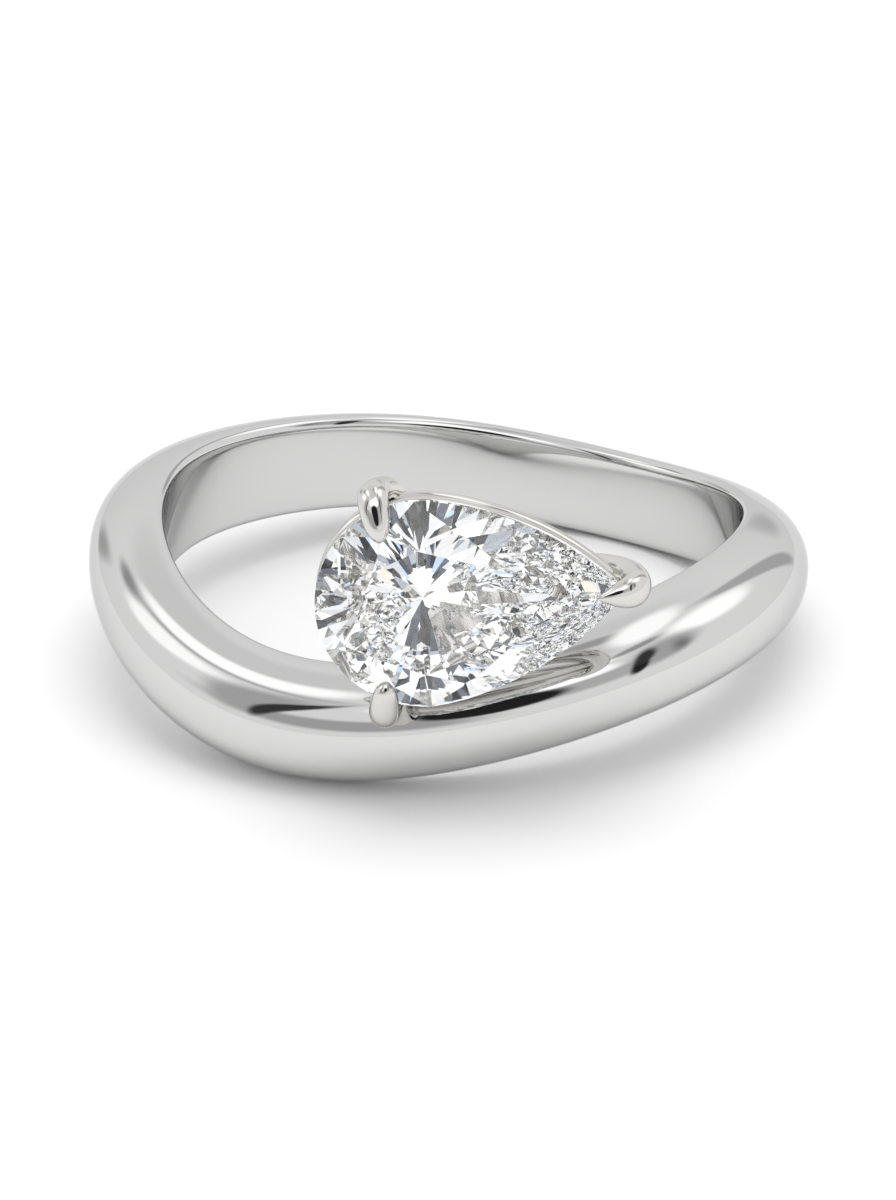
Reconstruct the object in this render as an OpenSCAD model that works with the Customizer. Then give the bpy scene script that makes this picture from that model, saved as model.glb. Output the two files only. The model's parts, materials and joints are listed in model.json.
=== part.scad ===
// Solitaire ring with a pear-cut stone held by three claws over a waved band, lying on its side.
// Millimetres. The ring is drawn round the Z axis, with its stone at the front, on -Y.
// Angles round the finger start at +X and run counter-clockwise, so the front is at 270.
// It is then leaned the way it comes to rest, with the middle of its base at the origin.

/* [Finger hole] */
// Inside diameter of the band
finger_d = 17; // [16:0.1:19]

/* [Band] */
// Mean width of the band, measured along the finger
band_w = 3.1; // [2.8:0.05:3.4]
// How much wider than its mean the band is at its swell
swell_w = 0.3; // [0:0.05:0.4]
// Where the swell lies round the finger
swell_at = 230; // [180:5:270]
// Mean thickness of the band, measured out from the finger
band_t = 2.1; // [1.9:0.05:2.4]
// How much thicker than its mean the band is at the front
front_t = 0.33; // [0:0.01:0.4]
// Where the band is thickest at the front
front_at = 252; // [240:1:285]
// How much thicker the right front and left back are than the two places between them
shoulder_t = 0.34; // [0:0.01:0.4]
// Where the right front shoulder lies
shoulder_at = 315; // [300:1:330]
// Radius of the rounded edge at each end of the finger hole
edge_r = 0.3; // [0.2:0.05:0.4]

/* [Wave of the band] */
// Rise of the slope that brings the back of the band level
slope_rise = 1.15; // [0.8:0.05:1.3]
// Where that slope is highest
slope_at = 60; // [50:1:70]
// Rise of the two crests that carry the front down under the stone and up past its tip
wave_rise = 0.8; // [0.5:0.05:1]
// Where the crest past the tip lies
wave_at = 334; // [325:1:340]
// Rise of the three crests that make the left of the dip steeper than the right
skew_rise = 0.12; // [0:0.01:0.2]
// Where the first of them lies
skew_at = 70; // [60:1:80]
// Rise of the four crests that round off the bottom of the dip
round_rise = 0.08; // [0:0.01:0.12]
// Where the first of them lies
round_at = 6; // [0:1:12]

/* [Stone] */
// Width of the pear
stone_w = 6; // [5.6:0.1:6.2]
// Length of the pear from its round end to its tip
stone_l = 8.7; // [8.3:0.1:9]
// How far round from the tip the round end begins
round_from = 80; // [76:1:84]
// Thickness of the girdle
girdle_t = 0.16; // [0.1:0.02:0.2]
// Height of the crown above the girdle
crown_h = 0.82; // [0.7:0.02:0.9]
// Depth of the pavilion below the girdle
pavilion_h = 2.5; // [2.3:0.05:2.6]
// Distance from the edge of the stone in to its table
table_inset = 1.2; // [1:0.05:1.4]
// Distance from the axis of the finger out to the girdle
stone_reach = 11.5; // [11.4:0.05:12]
// Centre of the round end, sideways from the axis of the finger
stone_x = -0.71; // [-1:0.01:-0.4]
// Height of that centre over the mean level of the band
stone_z = 2.55; // [2.4:0.05:2.7]
// Turn of the pear's axis, tip upward
stone_turn = 7; // [4:1:9]

/* [Setting] */
// Space between the stone and the metal round it
seat_gap = 0.04; // [0.03:0.01:0.06]
// Wall of the gallery rail behind the girdle
rail_t = 0.36; // [0.3:0.02:0.42]
// Depth behind the girdle at which the gallery rail ends
rail_depth = 1.2; // [1:0.02:1.26]
// Distance from the edge of the stone in to the wire of the lower rail
lower_inset = 1.6; // [1.5:0.05:1.7]
// Depth of the lower rail behind the girdle
lower_depth = 2.05; // [2:0.05:2.1]
// Radius of the wire of the lower rail
lower_r = 0.36; // [0.3:0.02:0.38]
// Angle round the pear from its tip to the upper claw of the round end
upper_claw_at = 112; // [104:1:118]
// Angle round the pear from its tip to the lower claw of the round end
lower_claw_at = 115; // [108:1:120]
// Radius of the wire of the round end's claws
claw_r = 0.44; // [0.38:0.01:0.46]
// Radius of the arm of the tip's claw
arm_r = 0.58; // [0.5:0.01:0.6]
// Radius of the post that carries the lower rail on the band
post_r = 0.45; // [0.4:0.01:0.5]

/* [Rest] */
// Lean of the ring on its base, front upward
rest_lean = 7.1; // [6:0.1:8]
// Roll of the ring on its base, left side upward
rest_roll = 5.8; // [5:0.1:7]

/* [Hidden] */

finger_r = finger_d / 2;
// How far the swept band reaches into the finger hole before the hole is cut
bore_overlap = 0.08;
band_stations = 96;
dome_steps = 12;
band_step = 360 / band_stations;

pear_r = stone_w / 2;
tip_p = stone_l - pear_r;
side_centre = (tip_p * tip_p - pear_r * pear_r) / (2 * (pear_r - tip_p * cos(round_from)));
side_r = side_centre + pear_r;
side_steps = 12;
round_steps = 24;
outline_n = 2 * side_steps + round_steps;
mains = 8;
main_step = outline_n / mains;
half_step = main_step / 2;
star_inset = table_inset * 0.52;
star_h = crown_h * 0.67;
join_scale = 0.25;
join_h = pavilion_h * 0.77;

seat_slope = 0.87;
wire_sides = 12;
colour_metal = [0.86, 0.86, 0.85];
colour_stone = [0.9, 0.95, 1.0, 0.6];

function unit(v) = v / norm(v);

// The band
function band_level(a) = slope_rise * cos(a - slope_at) + wave_rise * cos(2 * (a - wave_at))
    + skew_rise * cos(3 * (a - skew_at)) + round_rise * cos(4 * (a - round_at));
function band_half(a) = (band_w + swell_w * cos(a - swell_at)) / 2;
function band_thick(a) = band_t + front_t * cos(a - front_at) + shoulder_t * cos(2 * (a - shoulder_at));

// One cross-section as [distance out from the finger hole, height over the middle of the band]
function edge_point(half, turn) = [edge_r * (1 - sin(turn)), half - edge_r + edge_r * cos(turn)];
function flipped(p) = [p[0], -p[1]];
function band_section(half, thick) = concat(
    [for (i = [0 : dome_steps])
        let (turn = -90 + 180 * i / dome_steps)
        [edge_r + (thick - edge_r) * cos(turn), half * sin(turn)]],
    [edge_point(half, 30), edge_point(half, 60), [-bore_overlap, half - edge_r]],
    [[-bore_overlap, edge_r - half], flipped(edge_point(half, 60)), flipped(edge_point(half, 30))]);

function on_finger(a, out, level) = [(finger_r + out) * cos(a), (finger_r + out) * sin(a), level];
band_rings = [for (i = [0 : band_stations - 1])
    let (a = i * band_step)
    [for (p = band_section(band_half(a), band_thick(a))) on_finger(a, p[0], band_level(a) + p[1])]];

// The outline of the pear, moved in by an inset, from its tip round to its tip again
function tip_turn(inset) = asin(side_centre * sin(round_from) / (side_r - inset));
function side_point(inset, turn) = [
    (side_r - inset) * cos(turn) - side_centre * cos(round_from),
    (side_r - inset) * sin(turn) - side_centre * sin(round_from)];
function side_turn(inset, i) = tip_turn(inset) + (round_from - tip_turn(inset)) * i / side_steps;
function pear(inset) = concat(
    [for (i = [0 : side_steps - 1]) side_point(inset, side_turn(inset, i))],
    [for (i = [0 : round_steps])
        let (turn = round_from + (360 - 2 * round_from) * i / round_steps)
        [(pear_r - inset) * cos(turn), (pear_r - inset) * sin(turn)]],
    [for (i = [side_steps - 1 : -1 : 1]) flipped(side_point(inset, side_turn(inset, i)))]);
function at_height(points, h) = [for (p = points) [p[0], p[1], h]];

// From the pear's own axes (along, across, outward) to the ring's
function set_in_ring(p) = [
    stone_x + p[0] * cos(stone_turn) - p[1] * sin(stone_turn),
    -stone_reach - p[2],
    stone_z + p[0] * sin(stone_turn) + p[1] * cos(stone_turn)];
function set_all(points) = [for (p = points) set_in_ring(p)];

// The brilliant, with every face moved out by grow so that its seat can be cut from the metal
function every_main(points, start) = [for (i = [0 : mains - 1]) points[i * main_step + start]];
function stone_points(grow) = let (
    edge = pear(-grow),
    girdle_h = girdle_t / 2 + grow / 2) concat(
    at_height(every_main(pear(table_inset - grow), 0), girdle_t / 2 + crown_h + grow),
    at_height(every_main(pear(star_inset - grow), half_step), girdle_t / 2 + star_h + grow),
    at_height(edge, girdle_h),
    at_height(edge, -girdle_h),
    at_height(every_main(edge, half_step) * join_scale, -girdle_t / 2 - join_h - 1.3 * grow),
    [[0, 0, -girdle_t / 2 - pavilion_h - 1.4 * grow]]);

first_star = mains;
first_top = 2 * mains;
first_bottom = first_top + outline_n;
first_join = first_bottom + outline_n;
culet = first_join + mains;
function before(i) = (i + mains - 1) % mains;
function after(i) = (i + 1) % mains;
function edge_index(k) = (k + outline_n) % outline_n;
stone_faces = concat(
    [[for (i = [mains - 1 : -1 : 0]) i]],
    [for (i = [0 : mains - 1]) [i, after(i), first_star + i]],
    [for (i = [0 : mains - 1]) [i, first_star + i, first_top + i * main_step]],
    [for (i = [0 : mains - 1]) [i, first_top + i * main_step, first_star + before(i)]],
    [for (i = [0 : mains - 1], j = [0 : main_step - 1])
        [first_star + i, first_top + edge_index(i * main_step + j + 1), first_top + i * main_step + j]],
    [for (k = [0 : outline_n - 1])
        [first_top + k, first_top + edge_index(k + 1), first_bottom + edge_index(k + 1), first_bottom + k]],
    [for (i = [0 : mains - 1], j = [0 : main_step - 1])
        [first_join + i, first_bottom + i * main_step + j, first_bottom + edge_index(i * main_step + j + 1)]],
    [for (i = [0 : mains - 1]) [culet, first_bottom + i * main_step, first_join + i]],
    [for (i = [0 : mains - 1]) [culet, first_join + before(i), first_bottom + i * main_step]]);

// The two rails, each a ring of outlines joined in a loop
gallery_profile = [
    [0.03, -girdle_t / 2 - seat_gap - seat_slope * 0.06],
    [0, -girdle_t / 2 - 0.14],
    [0, 0.12 - rail_depth],
    [0.08, -rail_depth],
    [rail_t - 0.08, -rail_depth],
    [rail_t, 0.12 - rail_depth],
    [rail_t, -girdle_t / 2 - 2 * seat_gap - seat_slope * rail_t]];
lower_profile = [for (k = [0 : wire_sides / 2 - 1])
    let (turn = 720 * k / wire_sides)
    [lower_inset + lower_r * cos(turn), -lower_depth + lower_r * sin(turn)]];
function rail_rings(profile) = [for (row = profile) set_all(at_height(pear(row[0]), row[1]))];

// Claws as rows of [along the pear, out past its edge, outward, half width, half thickness]
round_head = [
    [0.06, 0.38, -0.62, 1, 1],
    [0, 0.45, -0.15, 1, 1],
    [-0.02, 0.40, 0.20, 1, 1],
    [0, 0.20, 0.45, 1, 0.96],
    [0.04, -0.12, 0.57, 0.90, 0.82],
    [0.08, -0.42, 0.64, 0.70, 0.60],
    [0.11, -0.66, 0.70, 0.42, 0.36],
    [0.13, -0.84, 0.76, 0.10, 0.10]];
upper_shaft = [
    [1.25, -1.44, -lower_depth, 0.85, 0.85],
    [0.72, -0.66, -1.65, 1, 1],
    [0.30, 0.06, -1.15, 1, 1]];
footed_shaft = [
    [0.20, -0.28, -2.00, 1.1, 1.1],
    [0.20, 0.00, -1.50, 1, 1],
    [0.16, 0.20, -1.05, 1, 1]];
tip_head = [
    [-2.35, 0, -lower_depth - 0.05, 0.80, 0.80],
    [-1.50, 0, -lower_depth - 0.12, 0.96, 0.96],
    [-0.62, 0, -1.85, 1, 0.98],
    [0.06, 0, -1.20, 1, 0.94],
    [0.30, 0, -0.50, 0.94, 0.84],
    [0.20, 0, 0.05, 0.86, 0.76],
    [-0.08, 0, 0.30, 0.74, 0.62],
    [-0.38, 0, 0.44, 0.52, 0.44],
    [-0.64, 0, 0.52, 0.26, 0.24],
    [-0.80, 0, 0.58, 0.08, 0.08]];

// A wire swept through centres, with a half width across and a half thickness along its other side
function heading(centres, i) = unit(centres[min(i + 1, len(centres) - 1)] - centres[max(i - 1, 0)]);
function wire_rings(centres, across, widths, depths) = [for (i = [0 : len(centres) - 1])
    let (lift = unit(cross(across, heading(centres, i))), side = cross(heading(centres, i), lift))
    [for (k = [0 : wire_sides - 1])
        let (turn = 360 * k / wire_sides)
        centres[i] + widths[i] * cos(turn) * side + depths[i] * sin(turn) * lift]];
function claw_rings(rows, start, out_side, across, r) = let (
    centres = [for (row = rows) start + [row[0], row[1] * out_side, row[2]]],
    rings = wire_rings(centres, across, [for (row = rows) row[3] * r], [for (row = rows) row[4] * r]))
    [for (ring = rings) set_all(ring)];
function round_edge(turn) = [pear_r * cos(turn), pear_r * sin(turn), 0];
upper_claw_rings = claw_rings(concat(upper_shaft, round_head), round_edge(upper_claw_at), 1, [1, 0, 0], claw_r);
footed_claw_rings = claw_rings(concat(footed_shaft, round_head), round_edge(-lower_claw_at), -1, [1, 0, 0], claw_r);
tip_claw_rings = claw_rings(tip_head, [tip_p, 0, 0], 1, [0, 1, 0], arm_r);

post_foot = set_in_ring([0.1, -(pear_r - lower_inset), -lower_depth]);
post_top = post_foot[2];
post_bottom = band_level(270) + band_half(270) - 0.5;

// Solids between rings: closed in a loop for a band or rail, or capped at both ends for a wire
function ring_faces(count, n, loop) = [
    for (i = [0 : (loop ? count - 1 : count - 2)], k = [0 : n - 1])
        let (a = i * n, b = ((i + 1) % count) * n, next = (k + 1) % n)
        each [[a + k, b + next, b + k], [a + k, a + next, b + next]]];
function end_caps(count, n) = [
    [for (k = [n - 1 : -1 : 0]) k],
    [for (k = [0 : n - 1]) (count - 1) * n + k]];
function all_points(rings) = [for (ring = rings, p = ring) p];
module looped(rings) {
    polyhedron(all_points(rings), ring_faces(len(rings), len(rings[0]), true), convexity = 8);
}
module capped(rings) {
    n = len(rings[0]);
    polyhedron(all_points(rings), concat(ring_faces(len(rings), n, false), end_caps(len(rings), n)), convexity = 6);
}

// The ring at rest: leaned and rolled, then moved so that its base is centred on the origin
function tipped(p) = [
    p[0],
    p[1] * cos(rest_lean) + p[2] * sin(rest_lean),
    p[2] * cos(rest_lean) - p[1] * sin(rest_lean)];
function rolled(p) = [
    p[0] * cos(rest_roll) + p[2] * sin(rest_roll),
    p[1],
    p[2] * cos(rest_roll) - p[0] * sin(rest_roll)];
outer_points = [for (p = concat(all_points(band_rings), all_points(upper_claw_rings),
    all_points(footed_claw_rings), all_points(tip_claw_rings), set_all(stone_points(0)))) rolled(tipped(p))];
function lowest(axis) = min([for (p = outer_points) p[axis]]);
function highest(axis) = max([for (p = outer_points) p[axis]]);
rest_shift = [-(lowest(0) + highest(0)) / 2, -(lowest(1) + highest(1)) / 2, -lowest(2)];

module at_rest() {
    translate(rest_shift) rotate([0, rest_roll, 0]) rotate([-rest_lean, 0, 0]) children();
}

module band() {
    looped(band_rings);
}

module rails() {
    looped(rail_rings(gallery_profile));
    looped(rail_rings(lower_profile));
}

module claws() {
    capped(upper_claw_rings);
    capped(footed_claw_rings);
    capped(tip_claw_rings);
}

module post() {
    translate([post_foot[0], post_foot[1], post_bottom]) cylinder(h = post_top - post_bottom, r = post_r, $fn = 32);
}

module brilliant(grow) {
    polyhedron(set_all(stone_points(grow)), stone_faces, convexity = 2);
}

module ring_body() {
    color(colour_metal) at_rest() difference() {
        union() {
            band();
            difference() {
                union() {
                    rails();
                    claws();
                    post();
                }
                brilliant(seat_gap);
            }
        }
        cylinder(h = 40, r = finger_r, center = true, $fn = 128);
    }
}

module stone() {
    color(colour_stone) at_rest() brilliant(0);
}

ring_body();
stone();
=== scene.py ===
"""Models a pear-cut solitaire ring at rest on a studio floor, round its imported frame.

The ring is shaped about the axis of the finger, with its stone at the front on -Y.
The head is shaped in the pear's own frame: along the stone, across it, and outward.
Each finished piece is then laid down the way the ring rests.
"""
import json
import math

import bmesh
import bpy
from bpy.props import FloatProperty, FloatVectorProperty, IntProperty, PointerProperty
from mathutils import Matrix, Vector


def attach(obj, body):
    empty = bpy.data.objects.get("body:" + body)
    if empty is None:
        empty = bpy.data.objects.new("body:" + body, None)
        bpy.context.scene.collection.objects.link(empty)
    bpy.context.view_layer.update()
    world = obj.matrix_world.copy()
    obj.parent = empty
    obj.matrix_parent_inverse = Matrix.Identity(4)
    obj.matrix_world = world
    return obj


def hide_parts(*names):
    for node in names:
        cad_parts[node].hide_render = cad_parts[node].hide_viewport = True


bl_info = {
    "name": "Pear Solitaire Ring",
    "version": (1, 0, 0),
    "blender": (4, 5, 0),
    "location": "3D View > Sidebar > Ring",
    "description": "Models, sets and lights a pear-cut solitaire ring",
    "category": "Object",
}

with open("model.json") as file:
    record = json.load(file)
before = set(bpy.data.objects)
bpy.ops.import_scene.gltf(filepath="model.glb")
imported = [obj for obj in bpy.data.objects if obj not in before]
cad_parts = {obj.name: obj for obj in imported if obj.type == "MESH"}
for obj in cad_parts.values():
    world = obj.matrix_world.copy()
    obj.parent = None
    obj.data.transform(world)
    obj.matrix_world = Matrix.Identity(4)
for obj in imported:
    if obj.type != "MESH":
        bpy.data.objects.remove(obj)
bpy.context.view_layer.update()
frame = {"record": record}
FINGER_HOLE = next(m for m in frame["record"]["mounts"] if m["name"] == "finger_hole")

MM = 0.001
BODY = "root"
METAL_NODE = "ring_body"
STONE_NODE = "stone"
NO_GAP = 1e-7
QUARTER = math.radians(90)
CREASE = math.radians(50)
ROUNDING_LEVELS = 2
PHOTO_TALL = 1200
SENSOR = 36


def length(name, description, size_mm):
    """A length setting, given here in millimetres."""
    return FloatProperty(
        name=name, description=description, default=size_mm * MM, subtype="DISTANCE", precision=5)


def turn(name, description, degrees):
    """An angle setting, given here in degrees."""
    return FloatProperty(
        name=name, description=description, default=math.radians(degrees), subtype="ANGLE")


def colour(name, description, rgb):
    """A colour setting."""
    return FloatVectorProperty(
        name=name, description=description, default=rgb, subtype="COLOR", min=0, max=1)


def factor(name, description, value):
    """A plain number setting."""
    return FloatProperty(name=name, description=description, default=value, min=0)


def count(name, description, value, least):
    """A whole-number setting."""
    return IntProperty(name=name, description=description, default=value, min=least)


class BandSizes(bpy.types.PropertyGroup):
    finger_r: length("Finger radius", "Inside radius of the band", 8.5)
    width: length("Width", "Mean width of the band along the finger", 3.1)
    swell: length("Swell", "How much wider than its mean the band is at its swell", 0.3)
    swell_at: turn("Swell at", "Where the swell lies round the finger", 230)
    thick: length("Thickness", "Mean thickness of the band, out from the finger", 2.085)
    front: length("Front", "How much thicker than its mean the band is at the front", 0.33)
    front_at: turn("Front at", "Where the band is thickest at the front", 252)
    shoulder: length("Shoulder", "How much thicker the right front and left back are", 0.34)
    shoulder_at: turn("Shoulder at", "Where the right front shoulder lies", 315)
    fullness: factor("Fullness", "Fullness of the dome's lower half, 0.5 for an even curve", 0.6)
    foot_trim: length("Foot trim", "How much narrower that half is, to lie on the floor", 0.03)
    edge_r: length("Edge radius", "Rounding of the edge at each end of the finger hole", 0.3)
    slope: length("Slope", "Rise that brings the back of the band level", 1.15)
    slope_at: turn("Slope at", "Where that slope is highest", 60)
    wave: length("Wave", "Rise of the two crests either side of the stone's dip", 0.8)
    wave_at: turn("Wave at", "Where the crest past the tip lies", 334)
    skew: length("Skew", "Rise that makes the left of the dip steeper", 0.12)
    skew_at: turn("Skew at", "Where its first crest lies", 70)
    rounding: length("Rounding", "Rise that rounds off the bottom of the dip", 0.08)
    rounding_at: turn("Rounding at", "Where its first crest lies", 6)
    stations: count("Stations", "Cross-sections round the band", 96, 24)
    dome_steps: count("Dome steps", "Steps over each half of the dome", 8, 3)
    edge_steps: count("Edge steps", "Steps over each rounded edge", 4, 2)


class RestPose(bpy.types.PropertyGroup):
    lean: turn("Lean", "Lean of the ring on its base, front upward", 7.1)
    roll: turn("Roll", "Roll of the ring on its base, left side upward", 5.8)
    hole_middle: length(
        "Hole middle", "Height of the finger hole's middle over the band's mean level", -0.644)


class StoneSizes(bpy.types.PropertyGroup):
    width: length("Width", "Width of the pear", 6)
    long: length("Length", "Length of the pear from its round end to its tip", 8.7)
    round_from: turn("Round from", "How far round from the tip the round end begins", 80)
    girdle: length("Girdle", "Thickness of the girdle", 0.16)
    crown: length("Crown", "Height of the crown above the girdle", 0.82)
    pavilion: length("Pavilion", "Depth of the pavilion below the girdle", 2.5)
    table_inset: length("Table inset", "Distance from the edge of the stone in to its table", 1.2)
    reach: length("Reach", "Distance from the axis of the finger out to the girdle", 11.5)
    aside: length("Aside", "Centre of the round end, sideways from the axis of the finger", -0.71)
    height: length("Height", "Height of that centre over the mean level of the band", 2.55)
    slant: turn("Slant", "Turn of the pear's axis, tip upward", 7)
    seat_gap: length("Seat gap", "Space between the stone and the metal round it", 0.03)


class SettingSizes(bpy.types.PropertyGroup):
    gallery_r: length("Gallery wire", "Radius of the two wires of the gallery rail", 0.32)
    gallery_depth: length("Gallery depth", "Depth of the front wire behind the girdle", 0.40)
    gallery_step: length("Gallery step", "Distance from the front wire to the back one", 0.60)
    lower_inset: length("Lower inset", "Distance from the stone's edge in to the lower rail", 1.6)
    lower_depth: length("Lower depth", "Depth of the lower rail behind the girdle", 2.05)
    lower_r: length("Lower wire", "Radius of the lower rail's wire", 0.36)
    upper_at: turn("Upper claw at", "Angle round the pear from its tip to the upper claw", 112)
    lower_at: turn("Lower claw at", "Angle round the pear from its tip to the lower claw", 115)
    lower_sunk: length("Lower claw sunk", "How much deeper it sits than the upper claw", 0.04)
    claw_r: length("Claw wire", "Radius of the round end's claws", 0.44)
    arm_r: length("Arm wire", "Radius of the arm of the tip's claw", 0.58)
    post_r: length("Post", "Radius of the post that carries the lower rail", 0.45)


class Finishes(bpy.types.PropertyGroup):
    metal: colour("Metal", "Polished white gold of the band", (0.67, 0.67, 0.667))
    metal_edge: colour("Metal edge", "Mirror of the metal where it turns away", (0.76, 0.76, 0.76))
    setting: colour("Setting", "Warmer white gold of the rails and claws", (0.70, 0.69, 0.66))
    stone: colour("Stone", "Body colour of the stone", (1.0, 1.0, 1.0))
    stone_sheen: colour("Stone sheen", "Mirror on the stone's own surface", (0.4, 0.4, 0.4))
    polish: factor("Polish", "Roughness of the polished metal", 0.03)
    stone_ior: factor("Stone index", "Refractive index of the stone", 2.42)


class Studio(bpy.types.PropertyGroup):
    camera_rise: turn("Camera rise", "Camera's height over the plane of the ring", 17.55)
    camera_roll: turn("Camera roll", "Roll of the camera about its own axis", 3.05)
    camera_away: length("Camera distance", "Distance from the camera to where it aims", 200)
    aim_drop: length("Aim drop", "How far below the band's mean level the camera aims", 0.937)
    focal_px: factor("Focal length", "Focal length in pixels of the photograph's frame", 6755)
    floor_colour: colour("Floor", "Colour of the floor", (0.9, 0.9, 0.9))
    floor_size: length("Floor size", "Width of the floor", 6000)
    room_light: factor("Room light", "Brightness of the cards and panels round the ring", 0.98)
    wall_light: factor("Wall light", "Brightness of the plain walls that light the floor", 0.94)
    top_light: factor("Top light", "Power in watts of the large soft light over the floor", 1.8)
    top_size: length("Top light size", "Width of that light", 640)
    top_side: length("Top light side", "How far to the right of the ring that light hangs", 80)
    top_back: length("Top light back", "How far behind the ring that light hangs", 60)
    top_high: length("Top light height", "Height of that light over the floor", 700)


def unit(angle):
    """The level direction at an angle round the finger or the pear."""
    return Vector((math.cos(angle), math.sin(angle), 0))


def band_level(s, a):
    """Height of the middle of the band at an angle round the finger."""
    return (s.slope * math.cos(a - s.slope_at)
            + s.wave * math.cos(2 * (a - s.wave_at))
            + s.skew * math.cos(3 * (a - s.skew_at))
            + s.rounding * math.cos(4 * (a - s.rounding_at)))


def band_half(s, a):
    """Half the width of the band at an angle round the finger."""
    return (s.width + s.swell * math.cos(a - s.swell_at)) / 2


def band_thick(s, a):
    """Thickness of the band at an angle round the finger."""
    return (s.thick
            + s.front * math.cos(a - s.front_at)
            + s.shoulder * math.cos(2 * (a - s.shoulder_at)))


def at_rest(scene):
    """From the ring's own frame to the floor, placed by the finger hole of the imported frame."""
    rest = scene.ring_rest
    laid = Matrix.Rotation(rest.roll, 4, "Y") @ Matrix.Rotation(-rest.lean, 4, "X")
    hole = laid @ Vector((0, 0, rest.hole_middle))
    return Matrix.Translation(Vector(FINGER_HOLE["pos_m"]) - hole) @ laid


def head_at_rest(scene):
    """From the pear's own frame (along, across, outward) to the floor."""
    stone = scene.ring_stone
    turned = Matrix.Rotation(-stone.slant, 4, "Y") @ Matrix.Rotation(QUARTER, 4, "X")
    return at_rest(scene) @ Matrix.Translation((stone.aside, -stone.reach, stone.height)) @ turned


def deselect_all():
    """Leaves edit mode and selects nothing."""
    if bpy.context.object and bpy.context.object.mode != "OBJECT":
        bpy.ops.object.mode_set(mode="OBJECT")
    bpy.ops.object.select_all(action="DESELECT")


def edit(piece):
    """Opens a piece for editing by its vertices."""
    bpy.ops.object.mode_set(mode="EDIT")
    bpy.ops.mesh.select_mode(type="VERT")
    return piece


def pick(piece, test):
    """Selects the vertices of a piece whose index and place pass a test."""
    mesh = bmesh.from_edit_mesh(piece.data)
    for vertex in mesh.verts:
        vertex.select = test(vertex.index, vertex.co)
    mesh.select_flush_mode()
    bmesh.update_edit_mesh(piece.data)


def subdivide_smooth(piece):
    """Rounds a piece by subdivision and keeps the result."""
    smooth = piece.modifiers.new("Rounding", "SUBSURF")
    smooth.levels = smooth.render_levels = ROUNDING_LEVELS
    bpy.ops.object.modifier_apply(modifier=smooth.name)


def close_up():
    """Merges the seams of the open piece, turns its faces outward and closes it."""
    bpy.ops.mesh.select_all(action="SELECT")
    bpy.ops.mesh.remove_doubles(threshold=NO_GAP)
    bpy.ops.mesh.normals_make_consistent(inside=False)
    bpy.ops.object.mode_set(mode="OBJECT")


def hand_over(piece, name, place, finish, node):
    """Puts a shape in its place, finishes it, attaches it to the body and hides the node of the
    frame that it is drawn instead of.
    """
    piece.name = piece.data.name = name
    piece.matrix_world = place
    bpy.ops.object.transform_apply(location=True, rotation=True, scale=True)
    piece.data.materials.clear()
    piece.data.materials.append(finish)
    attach(piece, BODY)
    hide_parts(node)
    bpy.ops.object.select_all(action="DESELECT")


class Number:
    """A socket that carries a number, and that Python's own signs work on."""

    def __init__(self, maker, socket):
        self.maker = maker
        self.socket = socket

    def _with(self, operation, other):
        """Adds a Math node for an operation on this number and another."""
        return self.maker.number("ShaderNodeMath", {"operation": operation}, {0: self, 1: other})

    def __add__(self, other):
        return self._with("ADD", other)

    def __mul__(self, other):
        return self._with("MULTIPLY", other)

    __radd__ = __add__
    __rmul__ = __mul__


# Sockets of a Mix node that belong to colours: the share, both colours and the result
MIX_SHARE, MIX_FIRST, MIX_SECOND, MIX_RESULT = 0, 6, 7, 2


class Nodes:
    """A tree of shader nodes, and the one way that nodes are added to it."""

    def __init__(self, tree):
        self.tree = tree

    def add(self, kind, settings=None, sockets=None):
        """Adds a node: its settings first, then values or links for its sockets."""
        node = self.tree.nodes.new(kind)
        for key, value in (settings or {}).items():
            if key == "stops":
                self.set_stops(node.color_ramp, value)
            else:
                setattr(node, key, value)
        for key, value in (sockets or {}).items():
            self.feed(node.inputs[key], value)
        return node

    def set_stops(self, ramp, stops):
        """Gives a colour ramp its steps, each from a place on."""
        ramp.interpolation = "CONSTANT"
        for place, _ in stops[1:-1]:
            ramp.elements.new(place)
        for element, (place, rgb) in zip(ramp.elements, stops):
            element.position = place
            element.color = (*rgb, 1)

    def feed(self, socket, value):
        """Gives a socket a value or a link."""
        if isinstance(value, Number):
            value = value.socket
        if isinstance(value, bpy.types.NodeSocket):
            self.tree.links.new(value, socket)
        else:
            socket.default_value = value

    def number(self, kind, settings, sockets):
        """Adds a node and gives back its first output as a number."""
        return Number(self, self.add(kind, settings, sockets).outputs[0])

    def blend(self, share, first, second):
        """Mixes two colours, by a share of the second from 0 to 1."""
        mix = self.add("ShaderNodeMix", {"data_type": "RGBA"}, {
            MIX_SHARE: share, MIX_FIRST: first, MIX_SECOND: second})
        return mix.outputs[MIX_RESULT]


class Finish(Nodes):
    """A new material with one surface shader."""

    def __init__(self, name):
        self.material = bpy.data.materials.new(name)
        self.material.use_nodes = True
        super().__init__(self.material.node_tree)
        self.shader = self.tree.nodes["Principled BSDF"]

    def place(self):
        """The piece's own coordinates."""
        return self.add("ShaderNodeTexCoord").outputs["Object"]

    def noise(self, scale, detail):
        """A soft pattern with features one part in scale of a metre across, from 0 to 1."""
        return self.number(
            "ShaderNodeTexNoise", {}, {"Vector": self.place(), "Scale": scale, "Detail": detail})

    def patchy(self, rgb, least, scale, detail):
        """A colour that is darker in soft patches, down to the least share of itself."""
        darker = tuple(least * part for part in rgb)
        return self.blend(self.noise(scale, detail), (*darker, 1), (*rgb, 1))

    def give(self, sockets):
        """Gives sockets of the surface shader their values or links."""
        for name, value in sockets.items():
            self.feed(self.shader.inputs[name], value)


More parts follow.
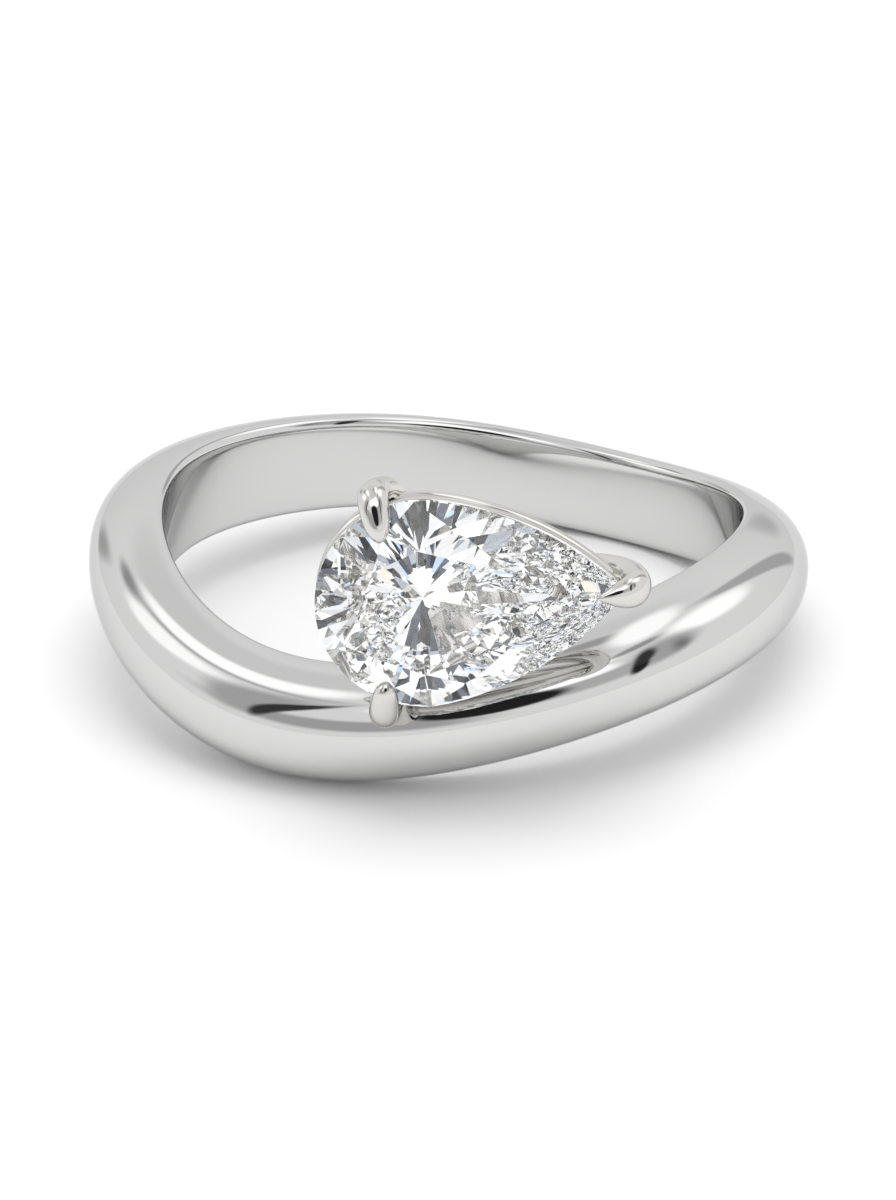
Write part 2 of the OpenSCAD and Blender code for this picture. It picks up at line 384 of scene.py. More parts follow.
# Patches and ripples to a metre, the detail in them, and how strong they are
METAL_PATCHES = 170
HAZE_PATCHES = 260
STONE_PATCHES = 300
RIPPLES = 420
SOFT, FINE = 2, 3
METAL_DIP = 0.94
STONE_DIP = 0.98
RIPPLE_STRENGTH = 0.12
RIPPLE_DEPTH = 0.02 * MM


def polished(name, rgb, edge, polish):
    """Mirror-polished metal with the faint unevenness that a polishing wheel leaves."""
    finish = Finish(name)
    ripple = finish.add("ShaderNodeBump", {}, {
        "Strength": RIPPLE_STRENGTH, "Distance": RIPPLE_DEPTH,
        "Height": finish.noise(RIPPLES, FINE)})
    finish.give({
        "Metallic": 1.0,
        "Specular Tint": (*edge, 1),
        "Base Color": finish.patchy(rgb, METAL_DIP, METAL_PATCHES, FINE),
        "Roughness": polish + finish.noise(HAZE_PATCHES, SOFT) * polish,
        "Normal": ripple.outputs["Normal"],
    })
    return finish.material


def clear_stone(name, rgb, sheen, index):
    """A clear cut stone, its body very slightly uneven."""
    finish = Finish(name)
    finish.give({
        "Base Color": finish.patchy(rgb, STONE_DIP, STONE_PATCHES, SOFT),
        "Roughness": 0.0,
        "IOR": index,
        "Specular Tint": (*sheen, 1),
        "Transmission Weight": 1.0,
    })
    return finish.material


def finish_named(scene, name):
    """One of the ring's finishes, made the first time that it is asked for."""
    if name in bpy.data.materials:
        return bpy.data.materials[name]
    looks = scene.ring_finishes
    if name == "polished_band":
        return polished(name, looks.metal, looks.metal_edge, looks.polish)
    if name == "polished_setting":
        return polished(name, looks.setting, looks.metal_edge, looks.polish)
    return clear_stone(name, looks.stone, looks.stone_sheen, looks.stone_ior)


EVEN_CURVE = 0.5
BORE_CUTS = 5


class RING_OT_band(bpy.types.Operator):
    """Spins a domed section round the finger, and gives each station its level and size"""

    bl_idname = "ring.band"
    bl_label = "Band"

    def execute(self, context):
        scene = context.scene
        s = scene.ring_band
        half = s.width / 2
        deselect_all()
        bpy.ops.mesh.primitive_plane_add(
            size=s.width, location=(s.finger_r + half, 0, 0), rotation=(QUARTER, 0, 0))
        bpy.ops.object.transform_apply(location=True, rotation=True, scale=True)
        band = edit(context.object)
        self.shape_section(band, s, half)
        self.cross_the_bore(band, s)
        bpy.ops.mesh.select_all(action="SELECT")
        bpy.ops.mesh.spin(steps=s.stations, angle=math.tau, center=(0, 0, 0), axis=(0, 0, 1))
        for station in range(s.stations):
            self.set_station(band, s, math.tau * station / s.stations)
        close_up()
        subdivide_smooth(band)
        bpy.ops.object.shade_smooth()
        hand_over(band, "band", at_rest(scene), finish_named(scene, "polished_band"), METAL_NODE)
        return {"FINISHED"}

    def shape_section(self, band, s, half):
        """Turns the square into a dome, with a rounded edge at each end of the hole."""
        bpy.ops.transform.resize(
            value=((s.edge_r + half) / s.width, 1, 1), center_override=(s.finger_r, 0, 0))
        for way, fullness in ((1, EVEN_CURVE), (-1, s.fullness)):
            pick(band, lambda i, co: co.x > s.finger_r + half / 2 and way * co.z > half / 2)
            self.round_off(half, fullness, s.dome_steps)
        pick(band, lambda i, co: co.z < -NO_GAP)
        bpy.ops.transform.resize(value=(1, 1, 1 - s.foot_trim / half), center_override=(0, 0, 0))
        pick(band, lambda i, co: co.x < s.finger_r + NO_GAP)
        self.round_off(s.edge_r, EVEN_CURVE, s.edge_steps)
        bpy.ops.mesh.select_all(action="SELECT")
        bpy.ops.mesh.remove_doubles(threshold=NO_GAP)
        bpy.ops.mesh.delete(type="ONLY_FACE")

    def round_off(self, radius, fullness, steps):
        """Rounds off the selected corners."""
        bpy.ops.mesh.bevel(
            offset=radius, offset_type="OFFSET", profile=fullness, segments=steps,
            affect="VERTICES")

    def cross_the_bore(self, band, s):
        """Splits the flat line against the finger, so that it keeps flat when it is rounded."""
        pick(band, lambda i, co: co.x < s.finger_r + NO_GAP)
        bpy.ops.mesh.subdivide(number_cuts=BORE_CUTS)

    def set_station(self, band, s, angle):
        """Gives the cross-section at one angle its thickness, width and level."""
        outward = unit(angle)
        across = Vector((-outward.y, outward.x, 0))
        near = s.finger_r * math.sin(math.pi / s.stations) / 2
        dome_foot = s.finger_r + s.edge_r

        def here(co, least):
            return abs(co.dot(across)) < near and co.dot(outward) > least

        pick(band, lambda i, co: here(co, dome_foot - NO_GAP))
        out_scale = (band_thick(s, angle) - s.edge_r) / (s.width / 2)
        foot = outward * dome_foot
        bpy.ops.transform.resize(value=(out_scale, out_scale, 1), center_override=foot)
        pick(band, lambda i, co: here(co, 0))
        width_scale = band_half(s, angle) / (s.width / 2)
        bpy.ops.transform.resize(value=(1, 1, width_scale), center_override=(0, 0, 0))
        bpy.ops.transform.translate(value=(0, 0, band_level(s, angle)))


def side_centre(stone):
    """Distance from the centre of the pear's round end to the centre of the arc of each side."""
    r = stone.width / 2
    tip = stone.long - r
    return (tip * tip - r * r) / (2 * (r - tip * math.cos(stone.round_from)))


def side_centre_point(stone, side):
    """Centre of the arc of one side, 1 for the upper and -1 for the lower."""
    toward = Vector((math.cos(stone.round_from), side * math.sin(stone.round_from), 0))
    return -side_centre(stone) * toward


def tip_angle(stone, inset):
    """Angle at which a side, moved in by an inset, reaches the pear's axis."""
    away = side_centre(stone)
    side_r = away + stone.width / 2 - inset
    return math.asin(away * math.sin(stone.round_from) / side_r)


def rim(stone, angle):
    """The point of the pear's edge that faces an angle, from -180 to 180 degrees."""
    side = 1 if angle > 0 else -1
    if abs(angle) >= stone.round_from:
        return unit(angle) * stone.width / 2
    if abs(angle) <= tip_angle(stone, 0):
        return Vector((stone.long - stone.width / 2, 0, 0))
    return side_centre_point(stone, side) + unit(angle) * (side_centre(stone) + stone.width / 2)


# Degrees from the tip: where bezels and mains face, and where the halves between them meet
BEZELS = (0, 62, 90, 135, 180)
CROWN_HALVES = (50, 76, 112.5, 157.5)
MAINS = (0, 68, 90, 112.5, 135, 157.5, 180)
LOWER_HALVES = (52, 79, 101, 124, 146, 169)
# As shares: how deep the lower halves reach, and how far in and up the stars' points lie
HALF_DEPTH = 0.80
STAR_INSET = 0.52
STAR_RISE = 0.67
OUTLINE_STEP = 5
SIDE_STEPS = 12
CULET_TRIM = 0.03 * MM
END_REACH = 10 * NO_GAP
TIP_WELD = 100 * NO_GAP


def plane_through(a, b, c, inside):
    """A cutting plane through three points, as a point and a normal that faces away from inside."""
    normal = (b - a).cross(c - a).normalized()
    if normal.dot(a - inside) < 0:
        normal.negate()
    return a, normal


def sides_of(angles):
    """Each angle in radians for the upper side, then for the lower side."""
    return [[math.radians(side * a) for a in angles] for side in (1, -1)]


def crown_planes(stone, inside):
    """The facets' planes over the girdle: table, bezels, stars and upper halves."""
    up = Vector((0, 0, stone.girdle / 2))
    top = up + Vector((0, 0, stone.crown))
    planes = [(top, Vector((0, 0, 1)))]
    for bezels, halves in zip(sides_of(BEZELS), sides_of(CROWN_HALVES)):
        edge = [rim(stone, a) for a in bezels]
        corner = [e - unit(a) * stone.table_inset for e, a in zip(edge, bezels)]
        corner[0] = Vector((tip_of_table(stone), 0, 0))
        for a, e, c in zip(bezels, edge, corner):
            if bezels[-1] > 0 or 0 < abs(a) < math.pi:
                planes.append(plane_through(e + up, e + up + unit(a + QUARTER), c + top, inside))
        for k, a in enumerate(halves):
            mid = rim(stone, a)
            inset = unit(a) * stone.table_inset * STAR_INSET
            star = mid - inset + up + Vector((0, 0, stone.crown)) * STAR_RISE
            planes.append(plane_through(corner[k] + top, corner[k + 1] + top, star, inside))
            for e in (edge[k], edge[k + 1]):
                planes.append(plane_through(e + up, mid + up, star, inside))
    return planes


def pavilion_planes(stone, inside):
    """The facets' planes under the girdle: culet, mains and lower halves."""
    down = Vector((0, 0, -stone.girdle / 2))
    culet = down + Vector((0, 0, -stone.pavilion))
    planes = [(culet + Vector((0, 0, CULET_TRIM)), Vector((0, 0, -1)))]
    for mains, halves in zip(sides_of(MAINS), sides_of(LOWER_HALVES)):
        edge = [rim(stone, a) for a in mains]
        under = []
        for a, e in zip(mains, edge):
            slope = math.atan(stone.pavilion / e.dot(unit(a)))
            under.append((e + down, unit(a) * math.sin(slope) - Vector((0, 0, math.cos(slope)))))
            if mains[-1] > 0 or 0 < abs(a) < math.pi:
                planes.append(under[-1])
        for k, a in enumerate(halves):
            mid = rim(stone, a) + down
            join = meet(under[k], under[k + 1], down.z - stone.pavilion * HALF_DEPTH)
            for e in (edge[k], edge[k + 1]):
                planes.append(plane_through(e + down, mid, join, inside))
    return planes


def meet(first, second, height):
    """The point at a height where two planes cross."""
    (p, n), (q, m) = first, second
    a, b = n.dot(p) - n.z * height, m.dot(q) - m.z * height
    turned = n.x * m.y - n.y * m.x
    return Vector(((a * m.y - b * n.y) / turned, (n.x * b - m.x * a) / turned, height))


def brilliant_planes(stone):
    """All of the facets' planes."""
    inside = Vector((stone.width / 8, 0, -stone.width / 16))
    return crown_planes(stone, inside) + pavilion_planes(stone, inside)


def tip_of_table(stone):
    """How far along the pear the tip of its table lies."""
    away = side_centre(stone)
    side_r = away + stone.width / 2 - stone.table_inset
    drop = away * math.sin(stone.round_from)
    return math.sqrt(side_r * side_r - drop * drop) - away * math.cos(stone.round_from)


def draw_pear(piece, stone, grow):
    """Cuts a circle down to the round end, and spins an arc to the tip from each side of it."""
    pick(piece, lambda i, co: co.x > (stone.width / 2 + grow) * math.cos(stone.round_from) + NO_GAP)
    bpy.ops.mesh.delete(type="VERT")
    reach = stone.round_from - tip_angle(stone, -grow)
    for side in (1, -1):
        end = unit(side * stone.round_from) * (stone.width / 2 + grow)
        pick(piece, lambda i, co: (co - end).length < END_REACH)
        bpy.ops.mesh.spin(
            steps=SIDE_STEPS, angle=side * reach, center=side_centre_point(stone, side),
            axis=(0, 0, 1))


def cut_brilliant(stone, grow):
    """Cuts a pear-cut brilliant from a prism, every facet moved out by grow."""
    deselect_all()
    bpy.ops.mesh.primitive_circle_add(vertices=360 // OUTLINE_STEP, radius=stone.width / 2 + grow)
    piece = edit(bpy.context.object)
    draw_pear(piece, stone, grow)
    bpy.ops.mesh.select_all(action="SELECT")
    bpy.ops.mesh.remove_doubles(threshold=TIP_WELD)
    bpy.ops.mesh.edge_face_add()
    bpy.ops.transform.translate(value=(0, 0, -2 * stone.pavilion))
    bpy.ops.mesh.extrude_region_move(TRANSFORM_OT_translate={"value": (0, 0, 4 * stone.pavilion)})
    for point, normal in brilliant_planes(stone):
        bpy.ops.mesh.select_all(action="SELECT")
        bpy.ops.mesh.bisect(
            plane_co=point + normal * grow, plane_no=normal,
            use_fill=True, clear_outer=True, threshold=NO_GAP)
    close_up()
    return piece


class RING_OT_stone(bpy.types.Operator):
    """Cuts the pear-shaped brilliant, one facet after another"""

    bl_idname = "ring.stone"
    bl_label = "Stone"

    def execute(self, context):
        scene = context.scene
        stone = cut_brilliant(scene.ring_stone, 0)
        bpy.ops.object.shade_flat()
        finish = finish_named(scene, "clear_stone")
        hand_over(stone, "pear_stone", head_at_rest(scene), finish, STONE_NODE)
        return {"FINISHED"}


def cut_seat(piece, scene):
    """Cuts the stone's seat out of a piece of the setting that is still in the pear's frame."""
    cutter = cut_brilliant(scene.ring_stone, scene.ring_stone.seat_gap)
    bpy.ops.object.select_all(action="DESELECT")
    piece.select_set(True)
    bpy.context.view_layer.objects.active = piece
    seat = piece.modifiers.new("Seat", "BOOLEAN")
    seat.operation = "DIFFERENCE"
    seat.solver = "EXACT"
    seat.object = cutter
    bpy.ops.object.modifier_apply(modifier=seat.name)
    bpy.data.objects.remove(cutter)


def hand_over_setting(piece, name, place, scene):
    """Smooths a piece of the setting, and hands it over in its place."""
    bpy.ops.object.shade_smooth_by_angle(angle=CREASE)
    hand_over(piece, name, place, finish_named(scene, "polished_setting"), METAL_NODE)


WIRE_SIDES = 20
ROUND_STEPS = 24
FLANK_STEPS = 20
PAST_TIP = math.radians(12)
SEAM_WELD = 20 * NO_GAP


def sweep_half_pear(piece, stone, inset):
    """Spins a section from the round end to past the tip, trims it there, and mirrors that half."""
    round_arc = math.pi - stone.round_from
    side_arc = stone.round_from - tip_angle(stone, inset) + PAST_TIP
    bpy.ops.mesh.select_all(action="SELECT")
    bpy.ops.mesh.spin(steps=ROUND_STEPS, angle=round_arc, center=(0, 0, 0), axis=(0, 0, 1))
    bpy.ops.mesh.spin(
        steps=FLANK_STEPS, angle=side_arc, center=side_centre_point(stone, 1), axis=(0, 0, 1))
    bpy.ops.mesh.select_all(action="SELECT")
    bpy.ops.mesh.bisect(plane_co=(0, 0, 0), plane_no=(0, -1, 0), clear_outer=True, threshold=NO_GAP)
    bpy.ops.object.mode_set(mode="OBJECT")
    other = piece.modifiers.new("Other half", "MIRROR")
    other.use_axis = (False, True, False)
    other.merge_threshold = SEAM_WELD
    bpy.ops.object.modifier_apply(modifier=other.name)
    edit(piece)
    close_up()


class RING_OT_rails(bpy.types.Operator):
    """Sweeps both wires of the gallery rail behind the girdle, and the lower rail"""

    bl_idname = "ring.rails"
    bl_label = "Rails"

    def execute(self, context):
        scene = context.scene
        stone, s = scene.ring_stone, scene.ring_setting
        for name, r, inset, depth in (
            ("gallery_front", s.gallery_r, s.gallery_r, s.gallery_depth),
            ("gallery_back", s.gallery_r, s.gallery_r, s.gallery_depth + s.gallery_step),
            ("lower_rail", s.lower_r, s.lower_inset, s.lower_depth),
        ):
            deselect_all()
            bpy.ops.mesh.primitive_circle_add(
                vertices=WIRE_SIDES, radius=r, rotation=(QUARTER, 0, 0),
                location=(inset - stone.width / 2, 0, -depth))
            bpy.ops.object.transform_apply(location=True, rotation=True, scale=True)
            rail = edit(context.object)
            sweep_half_pear(rail, stone, inset)
            if name == "gallery_front":
                cut_seat(rail, scene)
            hand_over_setting(rail, name, head_at_rest(scene), scene)
        return {"FINISHED"}


# Rows of a claw: along, out and outward in millimetres, then width and thickness as shares
ROUND_HEAD = (
    (0.06, 0.38, -0.62, 1, 1),
    (0, 0.45, -0.15, 1, 1),
    (-0.02, 0.40, 0.16, 1, 1),
    (0, 0.20, 0.39, 1, 0.94),
    (0.04, -0.10, 0.53, 0.92, 0.84),
    (0.08, -0.38, 0.66, 0.78, 0.78),
    (0.11, -0.58, 0.73, 0.54, 0.60),
    (0.13, -0.72, 0.77, 0.14, 0.18),
)
UPPER_SHAFT = (
    (1.25, -1.42, -2.05, 0.60, 0.60),
    (0.88, -0.72, -1.75, 0.96, 0.96),
    (0.46, 0.06, -1.38, 1, 1),
    (0.24, 0.32, -1.00, 1, 1),
)
LOWER_SHAFT = (
    (0.20, 0.85, -1.80, 1.05, 1.05),
    (0.20, 0.26, -1.62, 1, 1),
    (0.16, 0.22, -1.10, 1, 1),
)
TIP_CLAW = (
    (-2.72, 0, -2.06, 0.26, 0.26),
    (-2.36, 0, -2.09, 0.60, 0.60),
    (-1.50, 0, -2.17, 0.94, 0.94),
    (-0.62, 0, -1.85, 1, 0.98),
    (0.06, 0, -1.20, 1, 0.94),
    (0.30, 0, -0.50, 0.94, 0.84),
    (0.20, 0, 0.05, 0.86, 0.76),
    (-0.08, 0, 0.30, 0.74, 0.62),
    (-0.38, 0, 0.44, 0.52, 0.44),
    (-0.64, 0, 0.52, 0.26, 0.24),
    (-0.80, 0, 0.58, 0.08, 0.08),
)
CLAW_SIDES = 16


class RING_OT_claws(bpy.types.Operator):
    """Lays circles along each claw's line, bridges them, and rounds the claw"""

    bl_idname = "ring.claws"
    bl_label = "Claws"

    def execute(self, context):
        scene = context.scene
        stone, s = scene.ring_stone, scene.ring_setting
        upper = unit(s.upper_at) * stone.width / 2
        lower = unit(-s.lower_at) * stone.width / 2 - Vector((0, 0, s.lower_sunk))
        tip = Vector((stone.long - stone.width / 2, 0, 0))
        along, across = Vector((1, 0, 0)), Vector((0, 1, 0))
        for name, rows, start, out_side, flat, r in (
            ("upper_claw", UPPER_SHAFT + ROUND_HEAD, upper, 1, along, s.claw_r),
            ("lower_claw", LOWER_SHAFT + ROUND_HEAD, lower, -1, along, s.claw_r),
            ("tip_claw", TIP_CLAW, tip, 1, across, s.arm_r),
        ):
            claw = self.lay_circles(rows, start, out_side, flat, r)
            self.bridge(claw, len(rows))
            close_up()
            subdivide_smooth(claw)
            cut_seat(claw, scene)
            hand_over_setting(claw, name, head_at_rest(scene), scene)
        return {"FINISHED"}

    def lay_circles(self, rows, start, out_side, flat, r):
        """Adds a circle for each row, square to the claw's line, and gives it the row's size."""
        centres = [start + Vector((along, out * out_side, outward)) * MM
                   for along, out, outward, _, _ in rows]
        deselect_all()
        claw = None
        for i, (centre, (_, _, _, wide, thick)) in enumerate(zip(centres, rows)):
            heading = (centres[min(i + 1, len(rows) - 1)] - centres[max(i - 1, 0)]).normalized()
            lift = flat.cross(heading).normalized()
            side = lift.cross(heading)
            frame_here = Matrix((side, lift, heading)).transposed()
            bpy.ops.mesh.primitive_circle_add(
                vertices=CLAW_SIDES, radius=r, location=centre, rotation=frame_here.to_euler())
            if claw is None:
                bpy.ops.object.transform_apply(location=True, rotation=True, scale=True)
                claw = edit(bpy.context.object)
            bpy.ops.transform.resize(
                value=(wide, thick, 1), orient_type="GLOBAL", orient_matrix=frame_here,
                orient_matrix_type="GLOBAL", center_override=centre)
        return claw

    def bridge(self, claw, circles):
        """Bridges each circle to the next and closes both ends."""
        for k in range(circles - 1):
            pick(claw, lambda i, co: k * CLAW_SIDES <= i < (k + 2) * CLAW_SIDES)
            bpy.ops.mesh.bridge_edge_loops()
        for k in (0, circles - 1):
            pick(claw, lambda i, co: k * CLAW_SIDES <= i < (k + 1) * CLAW_SIDES)
            bpy.ops.mesh.edge_face_add()
            bpy.ops.mesh.poke()


POST_SIDES = 32
POST_ALONG = 0.1 * MM
POST_SUNK = 0.5 * MM
FLARE_TALL = 0.75 * MM
FOOT_SCALE = 1.3
WAIST_SCALE = 0.85


class RING_OT_post(bpy.types.Operator):
    """Stands the hidden post between the band and the lower rail, with a flared foot"""

    bl_idname = "ring.post"
    bl_label = "Post"

    def execute(self, context):
        scene = context.scene
        band, stone, s = scene.ring_band, scene.ring_stone, scene.ring_setting
        head = at_rest(scene).inverted() @ head_at_rest(scene)
        top = head @ Vector((POST_ALONG, s.lower_inset - stone.width / 2, -s.lower_depth))
        front = 3 * QUARTER
        foot = band_level(band, front) + band_half(band, front) - POST_SUNK
        middle = (top.x, top.y, (top.z + foot) / 2)
        deselect_all()
        bpy.ops.mesh.primitive_cylinder_add(
            vertices=POST_SIDES, radius=s.post_r, depth=top.z - foot, location=middle)
        bpy.ops.object.transform_apply(location=True, rotation=True, scale=True)
        post = edit(context.object)
        self.widen(post, foot, FOOT_SCALE, middle)
        waist = foot + FLARE_TALL
        bpy.ops.mesh.select_all(action="SELECT")
        bpy.ops.mesh.bisect(plane_co=(0, 0, waist), plane_no=(0, 0, 1), threshold=NO_GAP)
        self.widen(post, waist, WAIST_SCALE, middle)
        close_up()
        hand_over_setting(post, "post", at_rest(scene), scene)
        return {"FINISHED"}

    def widen(self, post, height, scale, middle):
        """Makes the post wider or narrower at one height."""
        pick(post, lambda i, co: abs(co.z - height) < NO_GAP)
        bpy.ops.transform.resize(value=(scale, scale, 1), center_override=middle)


# Cards: name, degrees round from +Y, up and tilted, width, height, soft edge and brightness
CARDS = (
    ("back_grey", -18, 60, 0, 0.60, 0.42, 0.6, 0.86),
    ("ceiling", 0, 88, 0, 0.42, 0.42, 0.5, 0.84),
    ("front_wall_left", -142, 19, 0, 0.85, 0.24, 0.5, 0.50),
    ("front_wall_right", 143, 38, 0, 0.60, 0.34, 0.5, 0.60),
    ("white_over_camera", 174, 61, 0, 0.56, 0.27, 0.25, 1.60),
    ("white_top_right", 132, 70, 20, 0.24, 0.14, 0.4, 1.55),
    ("grey_top_bar", 45, 79, 0, 0.30, 0.07, 0.6, 0.55),
    ("grey_top_left", 12, 67, -10, 0.16, 0.13, 0.6, 0.48),
    ("grey_top_right", 88, 64, 20, 0.28, 0.08, 0.7, 0.42),
    ("left_line", -78, 52, -34, 0.55, 0.07, 0.8, 0.62),
    ("left_softbox_low", -77, 36, -42, 0.35, 0.20, 0.5, 1.50),
    ("left_softbox_high", -66, 58, -40, 0.34, 0.17, 0.5, 1.55),
    ("right_softbox_low", 60, 46, 45, 0.36, 0.25, 0.5, 1.55),
    ("right_softbox_high", 36, 63, 37, 0.34, 0.15, 0.5, 1.50),
    ("left_gap", -53, 36, -30, 0.18, 0.17, 0.8, 0.40),
    ("left_grey", -108, 34, 90, 0.55, 0.22, 0.6, 0.52),
    ("left_flag", -117, 33, 94, 0.50, 0.07, 0.45, 0.05),
    ("right_grey", 104, 42, -50, 0.46, 0.28, 0.6, 0.52),
    ("right_flag", 121, 33, -70, 0.33, 0.073, 0.5, 0.02),
    ("right_flag_high", 112, 46, -56, 0.30, 0.085, 0.6, 0.05),
    ("right_flag_low", 98, 38, -62, 0.28, 0.10, 1.0, 0.26),
    ("back_strip", 35, 25, 90, 0.52, 0.105, 0.4, 0.56),
    ("back_low", 12, 11, 0, 0.22, 0.14, 0.8, 0.72),
    ("back_low_left", -40, 8, -60, 0.34, 0.14, 0.8, 0.55),
    ("camera_dark", 177, 37, 0, 0.44, 0.31, 0.30, 0.02),
)
LENS_CARD = ("lens", 180, 26, 0, 0.20, 0.20, 0.3, 0.08)
CARD_DEPTH = 1.6
# Panels: the share of all panels at which a colour begins, and the colour
PANELS = (
    (0, (0.010, 0.012, 0.016)),
    (0.20, (0.13, 0.145, 0.18)),
    (0.34, (0.50, 0.54, 0.62)),
    (0.43, (0.80, 0.82, 0.86)),
    (0.52, (0.95, 0.97, 1.00)),
    (0.72, (1.08, 1.08, 1.08)),
    (0.87, (0.62, 0.82, 1.25)),
    (0.91, (1.12, 1.06, 0.92)),
    (0.94, (1.50, 1.50, 1.50)),
)
PANELS_ACROSS = 7
WHITE = (1, 1, 1, 1)
FLOOR_ROUGHNESS = 0.9
STONE_BOUNCES = 40
FLOOR_BOUNCES = 3


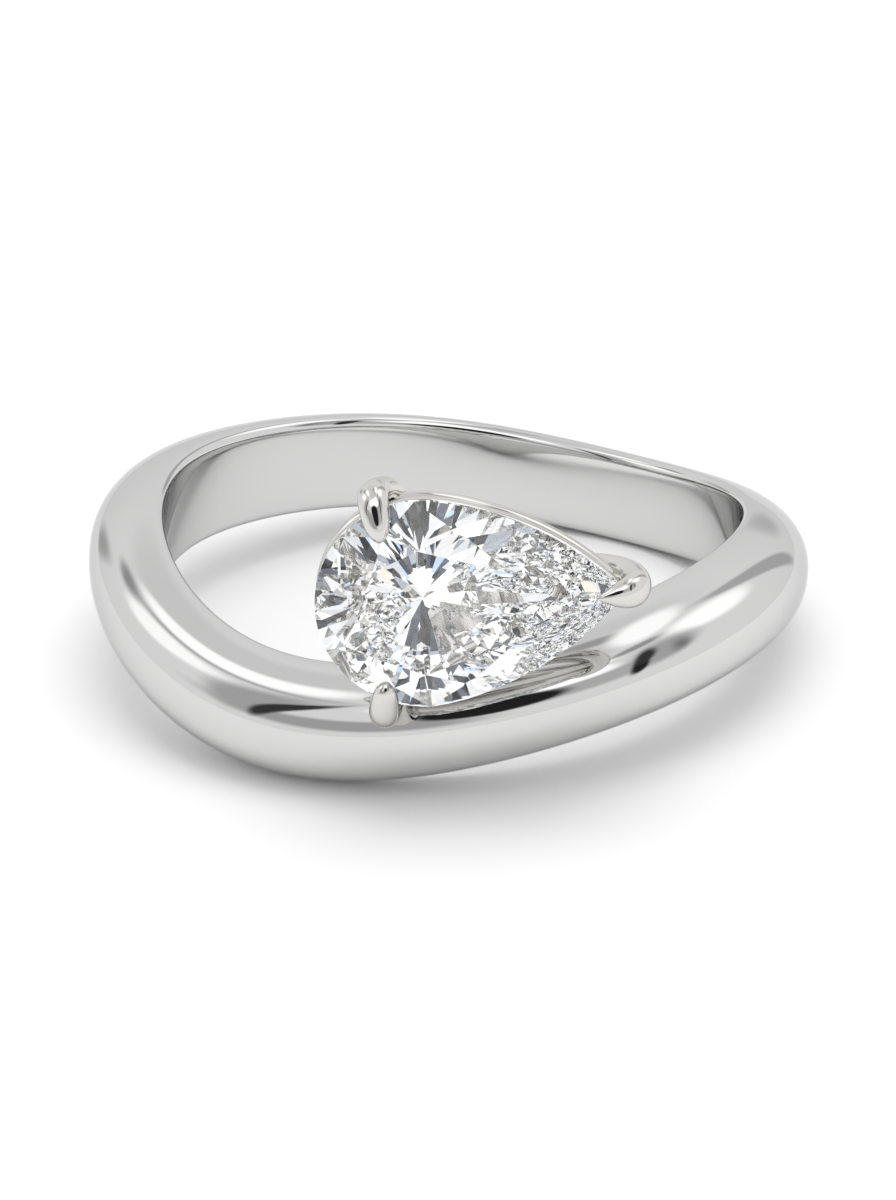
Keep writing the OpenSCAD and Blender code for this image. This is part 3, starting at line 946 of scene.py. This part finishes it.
class RING_OT_stage(bpy.types.Operator):
    """Lays the floor, lights the room and sets up the camera"""

    bl_idname = "ring.stage"
    bl_label = "Stage"

    def execute(self, context):
        studio = context.scene.ring_studio
        self.lay_floor(studio)
        self.light_room(context.scene, studio)
        self.hang_top_light(studio)
        self.place_camera(context.scene, studio)
        view = context.scene.view_settings
        view.view_transform = "Standard"
        view.look = "None"
        cycles = context.scene.cycles
        cycles.max_bounces = cycles.transmission_bounces = cycles.glossy_bounces = STONE_BOUNCES
        cycles.diffuse_bounces = FLOOR_BOUNCES
        return {"FINISHED"}

    def lay_floor(self, studio):
        """A plain white floor."""
        deselect_all()
        bpy.ops.mesh.primitive_plane_add(size=studio.floor_size)
        floor = bpy.context.object
        floor.name = "floor"
        finish = Finish("floor_white")
        finish.give({
            "Base Color": (*studio.floor_colour, 1),
            "Roughness": FLOOR_ROUGHNESS,
            "Specular IOR Level": 0.0,
        })
        floor.data.materials.append(finish.material)

    def light_room(self, scene, studio):
        """A room that is plain white to the floor, and hung with cards and panels for the ring."""
        scene.world = scene.world or bpy.data.worlds.new("room")
        scene.world.use_nodes = True
        room = Nodes(scene.world.node_tree)
        direction = room.add("ShaderNodeTexCoord").outputs["Generated"]
        cards = WHITE
        for card in CARDS:
            cards = self.hang_card(room, direction, cards, *card)
        panels = self.hang_panels(room, direction)
        walls = room.tree.nodes["Background"]
        room.feed(walls.inputs["Color"], WHITE)
        room.feed(walls.inputs["Strength"], studio.wall_light)
        lit = walls.outputs["Background"]
        ray = room.add("ShaderNodeLightPath")
        for seen_by, sight in (("Is Glossy Ray", cards), ("Is Transmission Ray", panels)):
            glow = room.add(
                "ShaderNodeBackground", {}, {"Color": sight, "Strength": studio.room_light})
            lit = room.add("ShaderNodeMixShader", {}, {
                0: ray.outputs[seen_by], 1: lit, 2: glow.outputs["Background"]}).outputs["Shader"]
        room.feed(room.tree.nodes["World Output"].inputs["Surface"], lit)

    def hang_top_light(self, studio):
        """One large soft light over the floor, which no mirror shows."""
        hung = Vector((studio.top_side, studio.top_back, studio.top_high))
        facing = hung.to_track_quat("Z", "Y").to_euler()
        bpy.ops.object.light_add(type="AREA", location=hung, rotation=facing)
        top = bpy.context.object
        top.name = "top_light"
        top.data.shape = "DISK"
        top.data.size = studio.top_size
        top.data.energy = studio.top_light
        top.visible_camera = False
        top.visible_glossy = False
        top.visible_transmission = False

    def hang_panels(self, room, direction):
        """The small white, grey and faintly tinted panels that the stone sparkles with."""
        panels = room.add("ShaderNodeTexVoronoi", {}, {"Vector": direction, "Scale": PANELS_ACROSS})
        drawn = room.add("ShaderNodeSeparateColor", {}, {"Color": panels.outputs["Color"]})
        shade = room.add("ShaderNodeValToRGB", {"stops": PANELS}, {"Fac": drawn.outputs["Red"]})
        return self.hang_card(room, direction, shade.outputs["Color"], *LENS_CARD)

    def hang_card(self, room, direction, light, name, toward, up, tilt, wide, tall, soft, shade):
        """Lays one soft-edged card over the room's light, seen from the ring in a direction."""
        level, rise, roll = (math.radians(v) for v in (toward, up, tilt))
        flat = math.cos(rise)
        out = Vector((math.sin(level) * flat, math.cos(level) * flat, math.sin(rise)))
        side = Vector((math.cos(level), -math.sin(level), 0))
        across = side * math.cos(roll) + side.cross(out) * math.sin(roll)
        hung = Matrix((across, out.cross(across), out)).transposed()
        place = room.add("ShaderNodeMapping", {"name": name, "vector_type": "TEXTURE"}, {
            "Vector": direction, "Location": out, "Rotation": hung.to_euler(),
            "Scale": (wide, tall, CARD_DEPTH)})
        middle = room.add("ShaderNodeTexGradient", {"gradient_type": "SPHERICAL"}, {
            "Vector": place.outputs["Vector"]})
        share = room.add("ShaderNodeMapRange", {"interpolation_type": "SMOOTHSTEP"}, {
            "Value": middle.outputs["Fac"], "From Max": soft})
        return room.blend(share.outputs["Result"], light, (shade, shade, shade, 1))

    def place_camera(self, scene, studio):
        """The photograph's camera, which was found in the ring's own frame."""
        rise, roll = studio.camera_rise, studio.camera_roll
        back = Vector((0, -math.cos(rise), math.sin(rise)))
        level = Vector((1, 0, 0))
        over = back.cross(level)
        right = level * math.cos(roll) + over * math.sin(roll)
        above = over * math.cos(roll) - level * math.sin(roll)
        turned = Matrix((right, above, back)).transposed().to_4x4()
        aim = Matrix.Translation((0, 0, -studio.aim_drop))
        away = Matrix.Translation(back * studio.camera_away)
        bpy.ops.object.camera_add()
        camera = bpy.context.object
        camera.matrix_world = at_rest(scene) @ aim @ away @ turned
        camera.data.sensor_width = SENSOR
        camera.data.lens = SENSOR * studio.focal_px / PHOTO_TALL
        camera.data.clip_start = MM
        scene.camera = camera


class RING_PT_sidebar(bpy.types.Panel):
    """The ring's steps, in the order that they are run"""

    bl_idname = "RING_PT_sidebar"
    bl_label = "Pear Solitaire"
    bl_space_type = "VIEW_3D"
    bl_region_type = "UI"
    bl_category = "Ring"

    def draw(self, context):
        for step in STEPS:
            self.layout.operator(step.bl_idname)


GROUPS = {
    "ring_band": BandSizes,
    "ring_rest": RestPose,
    "ring_stone": StoneSizes,
    "ring_setting": SettingSizes,
    "ring_finishes": Finishes,
    "ring_studio": Studio,
}
STEPS = (RING_OT_stage, RING_OT_band, RING_OT_stone, RING_OT_rails, RING_OT_claws, RING_OT_post)


def register():
    """Registers the settings, the steps and the panel."""
    for name, group in GROUPS.items():
        bpy.utils.register_class(group)
        setattr(bpy.types.Scene, name, PointerProperty(type=group))
    for step in STEPS:
        bpy.utils.register_class(step)
    bpy.utils.register_class(RING_PT_sidebar)


def unregister():
    """Takes them away again."""
    bpy.utils.unregister_class(RING_PT_sidebar)
    for step in reversed(STEPS):
        bpy.utils.unregister_class(step)
    for name, group in GROUPS.items():
        delattr(bpy.types.Scene, name)
        bpy.utils.unregister_class(group)


def main():
    """Runs the steps in order."""
    register()
    bpy.ops.ring.stage()
    bpy.ops.ring.band()
    bpy.ops.ring.stone()
    bpy.ops.ring.rails()
    bpy.ops.ring.claws()
    bpy.ops.ring.post()


if __name__ == "__main__":
    main()
